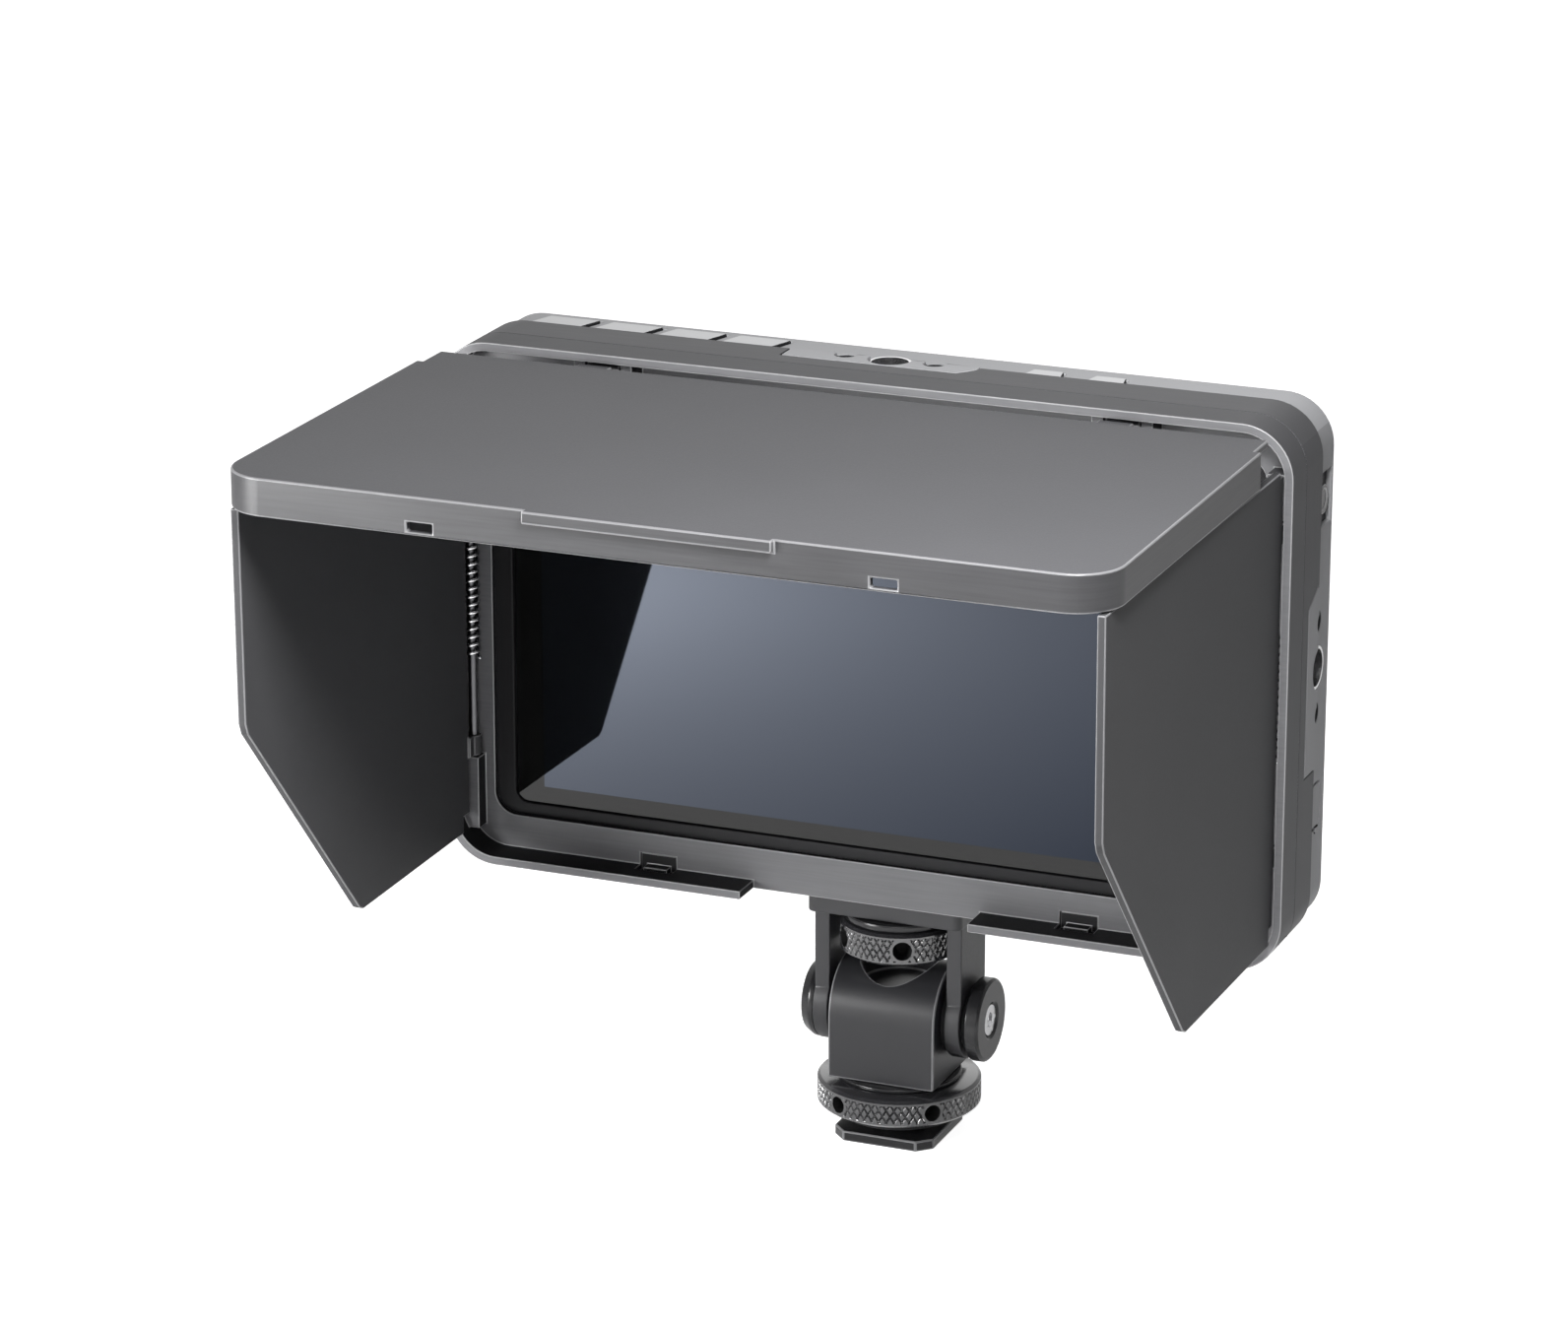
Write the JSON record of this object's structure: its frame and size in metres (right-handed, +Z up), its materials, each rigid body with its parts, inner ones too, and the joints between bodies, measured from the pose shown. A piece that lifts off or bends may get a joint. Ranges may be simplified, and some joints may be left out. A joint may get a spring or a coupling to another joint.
{
  "type": "camera field monitor",
  "caption": "Small screen for a camera with a folding sun hood, on a panning and tilting shoe mount with a knurled lock ring and thumbwheel.",
  "frame": {"origin": "centre of the bottom face of the shoe foot", "axes": "+X to the right seen from the screen side, +Y back, away from the viewer, +Z up; the screen faces -Y"},
  "size_m": [0.152, 0.1258, 0.1415],
  "materials": {
    "mount_black": "glossy black anodised",
    "mount_block": "glossy black anodised, rounded edges polished",
    "wheel_black": "knurled rim, black anodised",
    "nylon_black": "smooth black nylon",
    "pad_rubber": "matte",
    "screw_steel": "bright",
    "screw_dark": "black zinc",
    "case_front": "fine dark grey satin",
    "case_rear": "fine mid grey satin",
    "glass": "clear over a dark panel",
    "gasket": "matte",
    "panel": "dark liquid crystal panel",
    "diffuser": "white",
    "sheet": "zinc plated sheet",
    "board": "green board with black chips",
    "insert": "machined",
    "key_grey": "satin",
    "key_black": "satin",
    "port_metal": "plated shell",
    "port_black": "moulded",
    "cover_rubber": "matte grey",
    "plate_plastic": "moulded",
    "contact_gold": "gold plated",
    "latch_red": "moulded",
    "hood_plastic": "fine texture",
    "hood_flap": "fine texture",
    "hood_lid": "fine texture, satin",
    "catch_metal": "plain",
    "pin_steel": "plain",
    "spring_steel": "bright wire"
  },
  "bodies": {
    "shoe": {"shoe_foot": "mount_black", "swivel_disc": "mount_black"},
    "clamp": {"clamp_washer": "nylon_black"},
    "ring": {"lock_ring": "wheel_black"},
    "swivel": {"swivel_block": "mount_block"},
    "monitor": {"tilt_yoke": "mount_block", "mount_pad": "pad_rubber", "friction_washers": "nylon_black", "tilt_screw": "screw_steel", "left_cap": "mount_black", "right_cap": "mount_black", "front_casing": "case_front", "rear_casing": "case_rear", "case_screws": "screw_dark", "cover_glass": "glass", "glass_gasket": "gasket", "lcd_panel": "panel", "backlight": "diffuser", "chassis_plate": "sheet", "mainboard": "board", "heat_spreader": "sheet", "key_board": "board", "thread_inserts": "insert", "power_surround": "key_black", "video_ports": "port_metal", "audio_jack": "port_black", "power_jack": "port_black", "usb_port": "port_metal", "battery_plate": "plate_plastic", "battery_contacts": "contact_gold", "plate_screws": "screw_dark", "hood_frame": "hood_plastic", "hood_latches": "catch_metal", "flap_pins": "pin_steel", "lid_pins": "pin_steel", "left_spring": "spring_steel", "right_spring": "spring_steel"},
    "slip": {"slip_disc": "mount_black"},
    "wheel": {"thumbwheel": "wheel_black", "mount_screw": "screw_steel"},
    "key_1": {"menu_key_1": "key_grey"},
    "key_2": {"menu_key_2": "key_grey"},
    "key_3": {"menu_key_3": "key_grey"},
    "key_4": {"menu_key_4": "key_grey"},
    "key_zoom": {"zoom_key": "key_grey"},
    "key_input": {"input_key": "key_grey"},
    "key_power": {"power_key": "key_black"},
    "cover": {"port_cover": "cover_rubber"},
    "latch": {"battery_latch": "latch_red"},
    "flap_left": {"left_flap": "hood_flap"},
    "flap_right": {"right_flap": "hood_flap"},
    "hood_lid": {"lid": "hood_lid"}
  },
  "joints": [
    {"name": "clamp_slide", "type": "slide", "parent": "shoe", "child": "clamp", "axis": [0, 0, 1], "range_m": [-0.0015, 0]},
    {"name": "ring_turn", "type": "hinge", "parent": "clamp", "child": "ring", "pos_m": [0, 0, 0.008], "axis": [0, 0, 1], "range_deg": [-541, 0]},
    {"name": "pan", "type": "hinge", "parent": "shoe", "child": "swivel", "pos_m": [0, 0, 0.015], "axis": [0, 0, 1], "continuous": true},
    {"name": "tilt", "type": "hinge", "parent": "swivel", "child": "monitor", "pos_m": [0, 0, 0.0227], "axis": [1, 0, 0], "range_deg": [-90, 90]},
    {"name": "slip_slide", "type": "slide", "parent": "monitor", "child": "slip", "axis": [0, 0, 1], "range_m": [-0.000635, 0]},
    {"name": "wheel_turn", "type": "hinge", "parent": "slip", "child": "wheel", "pos_m": [0, 0, 0.037], "axis": [0, 0, 1], "range_deg": [-181, 0]},
    {"name": "key_1_press", "type": "slide", "parent": "monitor", "child": "key_1", "axis": [0, 0, -1], "range_m": [0, 0.0006], "stiffness_N_per_m": 300},
    {"name": "key_2_press", "type": "slide", "parent": "monitor", "child": "key_2", "axis": [0, 0, -1], "range_m": [0, 0.0006], "stiffness_N_per_m": 300},
    {"name": "key_3_press", "type": "slide", "parent": "monitor", "child": "key_3", "axis": [0, 0, -1], "range_m": [0, 0.0006], "stiffness_N_per_m": 300},
    {"name": "key_4_press", "type": "slide", "parent": "monitor", "child": "key_4", "axis": [0, 0, -1], "range_m": [0, 0.0006], "stiffness_N_per_m": 300},
    {"name": "zoom_press", "type": "slide", "parent": "monitor", "child": "key_zoom", "axis": [0, 0, -1], "range_m": [0, 0.0006], "stiffness_N_per_m": 300},
    {"name": "input_press", "type": "slide", "parent": "monitor", "child": "key_input", "axis": [0, 0, -1], "range_m": [0, 0.0006], "stiffness_N_per_m": 300},
    {"name": "power_press", "type": "slide", "parent": "monitor", "child": "key_power", "axis": [-1, 0, 0], "range_m": [0, 0.0006], "stiffness_N_per_m": 300},
    {"name": "cover_swing", "type": "hinge", "parent": "monitor", "child": "cover", "pos_m": [0.07505, -0.003, 0.06755], "axis": [0, 1, 0], "range_deg": [0, 100]},
    {"name": "latch_press", "type": "slide", "parent": "monitor", "child": "latch", "axis": [0, -1, 0], "range_m": [0, 0.0012], "stiffness_N_per_m": 400},
    {"name": "left_flap_fold", "type": "hinge", "parent": "monitor", "child": "flap_left", "pos_m": [-0.0728, -0.0183, 0.094], "axis": [0, 0, 1], "range_deg": [0, 89], "stiffness_Nm_per_rad": 0.01, "springref_deg": -28.65},
    {"name": "right_flap_fold", "type": "hinge", "parent": "monitor", "child": "flap_right", "pos_m": [0.0722, -0.0194, 0.094], "axis": [0, 0, -1], "range_deg": [0, 89], "stiffness_Nm_per_rad": 0.01, "springref_deg": -28.65},
    {"name": "lid_lift", "type": "hinge", "parent": "monitor", "child": "hood_lid", "pos_m": [0, -0.0201, 0.1382], "axis": [-1, 0, 0], "range_deg": [0, 12]}
  ],
  "couplings": [
    {"joint": "ring_turn", "follows": "clamp_slide", "rad_per_m": 6283.2},
    {"joint": "wheel_turn", "follows": "slip_slide", "rad_per_m": 4947.4}
  ]
}
